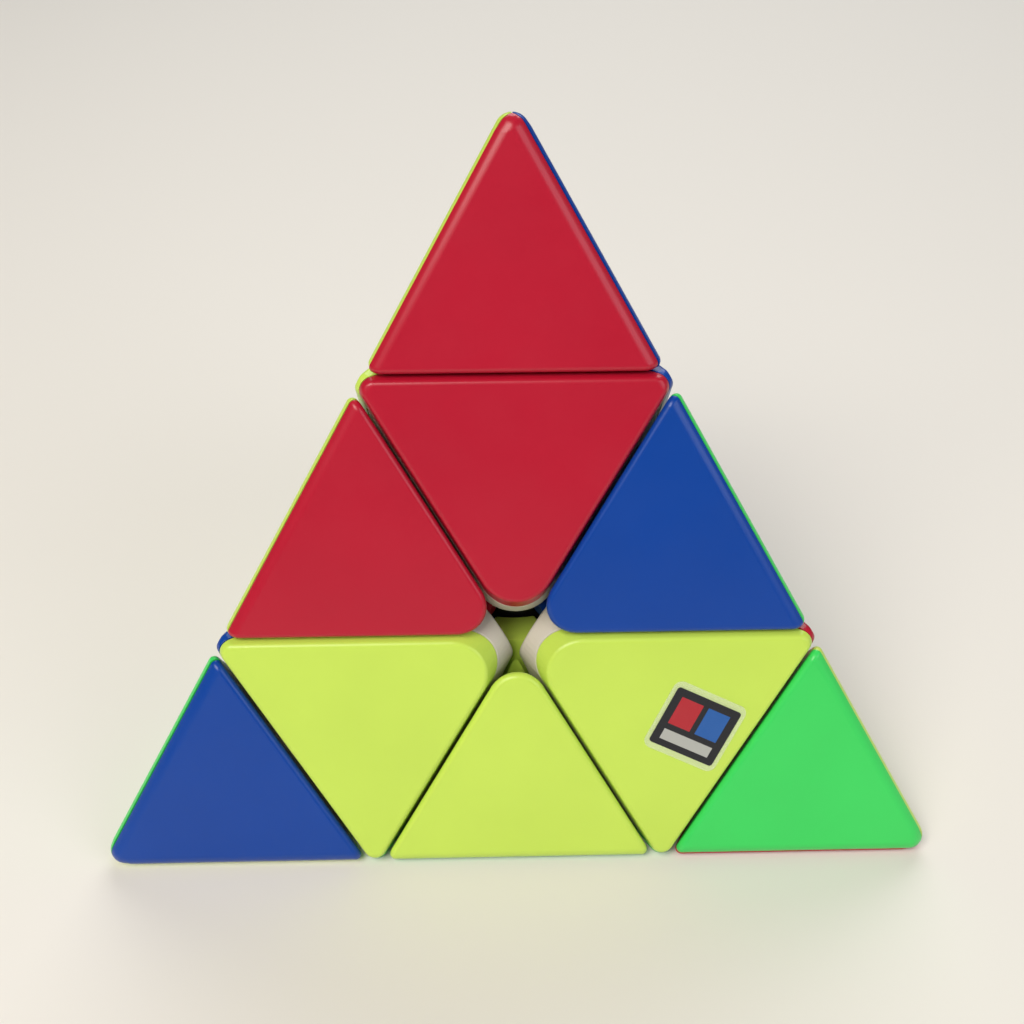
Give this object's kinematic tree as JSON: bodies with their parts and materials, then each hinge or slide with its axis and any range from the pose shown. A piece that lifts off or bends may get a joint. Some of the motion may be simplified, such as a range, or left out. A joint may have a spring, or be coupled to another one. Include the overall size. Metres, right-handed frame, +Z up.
{
  "type": "pyramid twisty puzzle",
  "caption": "Tetrahedral twisty puzzle with coloured moulded pieces; corner layers and tips turn on a sprung core.",
  "frame": {"origin": "centre of the core, which is the centroid of the puzzle", "axes": "+Z up through the top corner, -Y towards the front face, +X to the right; the puzzle stands on its bottom face"},
  "size_m": [0.0934, 0.081, 0.0765],
  "materials": {
    "red_plastic": "moulded ABS, satin gloss",
    "yellow_plastic": "moulded ABS, satin gloss",
    "blue_plastic": "moulded ABS, satin gloss",
    "green_plastic": "moulded ABS, satin gloss",
    "white_plastic": "moulded ABS, slightly milky",
    "black_plastic": "moulded ABS, satin gloss",
    "steel": "zinc plated",
    "sticker_film": "printed glossy film"
  },
  "bodies": {
    "core_frame": {"core": "black_plastic", "top_screw": "steel", "top_washer": "steel", "top_spring": "steel", "left_screw": "steel", "left_washer": "steel", "left_spring": "steel", "right_screw": "steel", "right_washer": "steel", "right_spring": "steel", "back_screw": "steel", "back_washer": "steel", "back_spring": "steel"},
    "top_layer": {"top_axial_body": "white_plastic", "top_axial_plate_right": "blue_plastic", "top_axial_plate_left": "yellow_plastic", "top_axial_plate_front": "red_plastic"},
    "left_layer": {"left_axial_body": "white_plastic", "left_axial_plate_bottom": "green_plastic", "left_axial_plate_left": "blue_plastic", "left_axial_plate_front": "yellow_plastic"},
    "right_layer": {"right_axial_body": "white_plastic", "right_axial_plate_bottom": "green_plastic", "right_axial_plate_right": "red_plastic", "right_axial_plate_front": "yellow_plastic", "plate_sticker": "sticker_film"},
    "back_layer": {"back_axial_body": "white_plastic", "back_axial_plate_bottom": "green_plastic", "back_axial_plate_right": "red_plastic", "back_axial_plate_left": "blue_plastic"},
    "top_tip": {"top_tip_base": "white_plastic", "top_tip_shell_right": "blue_plastic", "top_tip_shell_left": "yellow_plastic", "top_tip_shell_front": "red_plastic"},
    "left_tip": {"left_tip_base": "white_plastic", "left_tip_shell_bottom": "yellow_plastic", "left_tip_shell_left": "green_plastic", "left_tip_shell_front": "blue_plastic"},
    "right_tip": {"right_tip_base": "white_plastic", "right_tip_shell_bottom": "red_plastic", "right_tip_shell_right": "yellow_plastic", "right_tip_shell_front": "green_plastic"},
    "back_tip": {"back_tip_base": "white_plastic", "back_tip_shell_bottom": "red_plastic", "back_tip_shell_right": "blue_plastic", "back_tip_shell_left": "green_plastic"},
    "top_left_edge": {"top_left_edge_front": "red_plastic", "top_left_edge_left": "yellow_plastic"},
    "top_right_edge": {"top_right_edge_front": "blue_plastic", "top_right_edge_right": "green_plastic"},
    "top_back_edge": {"top_back_edge_left": "blue_plastic", "top_back_edge_right": "red_plastic"},
    "left_right_edge": {"left_right_edge_front": "yellow_plastic", "left_right_edge_bottom": "green_plastic"},
    "right_back_edge": {"right_back_edge_right": "green_plastic", "right_back_edge_bottom": "red_plastic"},
    "left_back_edge": {"left_back_edge_left": "yellow_plastic", "left_back_edge_bottom": "blue_plastic"}
  },
  "joints": [
    {"name": "top_layer_turn", "type": "hinge", "parent": "core_frame", "child": "top_layer", "pos_m": [0, 0, 0], "axis": [0, 0, 1], "continuous": true},
    {"name": "left_layer_turn", "type": "hinge", "parent": "core_frame", "child": "left_layer", "pos_m": [0, 0, 0], "axis": [-0.8165, -0.4714, -0.3333], "range_deg": [-360, 360]},
    {"name": "right_layer_turn", "type": "hinge", "parent": "core_frame", "child": "right_layer", "pos_m": [0, 0, 0], "axis": [0.8165, -0.4714, -0.3333], "range_deg": [-360, 360]},
    {"name": "back_layer_turn", "type": "hinge", "parent": "core_frame", "child": "back_layer", "pos_m": [0, 0, 0], "axis": [0, 0.9428, -0.3333], "range_deg": [-360, 360]},
    {"name": "top_tip_turn", "type": "hinge", "parent": "top_layer", "child": "top_tip", "pos_m": [0, 0, 0], "axis": [0, 0, 1], "continuous": true},
    {"name": "left_tip_turn", "type": "hinge", "parent": "left_layer", "child": "left_tip", "pos_m": [0, 0, 0], "axis": [-0.8165, -0.4714, -0.3333], "continuous": true},
    {"name": "right_tip_turn", "type": "hinge", "parent": "right_layer", "child": "right_tip", "pos_m": [0, 0, 0], "axis": [0.8165, -0.4714, -0.3333], "continuous": true},
    {"name": "back_tip_turn", "type": "hinge", "parent": "back_layer", "child": "back_tip", "pos_m": [0, 0, 0], "axis": [0, 0.9428, -0.3333], "continuous": true},
    {"name": "top_left_edge_turn", "type": "hinge", "parent": "top_layer", "child": "top_left_edge", "pos_m": [0, 0, 0], "axis": [-0.8165, -0.4714, -0.3333], "range_deg": [-360, 360]},
    {"name": "top_right_edge_turn", "type": "hinge", "parent": "top_layer", "child": "top_right_edge", "pos_m": [0, 0, 0], "axis": [0.8165, -0.4714, -0.3333], "range_deg": [-360, 360]},
    {"name": "top_back_edge_turn", "type": "hinge", "parent": "top_layer", "child": "top_back_edge", "pos_m": [0, 0, 0], "axis": [0, 0.9428, -0.3333], "range_deg": [-360, 360]},
    {"name": "left_right_edge_turn", "type": "hinge", "parent": "left_layer", "child": "left_right_edge", "pos_m": [0, 0, 0], "axis": [0.8165, -0.4714, -0.3333], "range_deg": [-360, 360]},
    {"name": "right_back_edge_turn", "type": "hinge", "parent": "right_layer", "child": "right_back_edge", "pos_m": [0, 0, 0], "axis": [0, 0.9428, -0.3333], "range_deg": [-360, 360]},
    {"name": "left_back_edge_turn", "type": "hinge", "parent": "back_layer", "child": "left_back_edge", "pos_m": [0, 0, 0], "axis": [-0.8165, -0.4714, -0.3333], "range_deg": [-360, 360]}
  ],
  "couplings": [
    {"joint": "top_left_edge_turn", "follows": "left_layer_turn", "ratio": 1},
    {"joint": "top_right_edge_turn", "follows": "right_layer_turn", "ratio": 1},
    {"joint": "top_back_edge_turn", "follows": "back_layer_turn", "ratio": 1},
    {"joint": "left_right_edge_turn", "follows": "right_layer_turn", "ratio": 1},
    {"joint": "right_back_edge_turn", "follows": "back_layer_turn", "ratio": 1},
    {"joint": "left_back_edge_turn", "follows": "left_layer_turn", "ratio": 1}
  ]
}
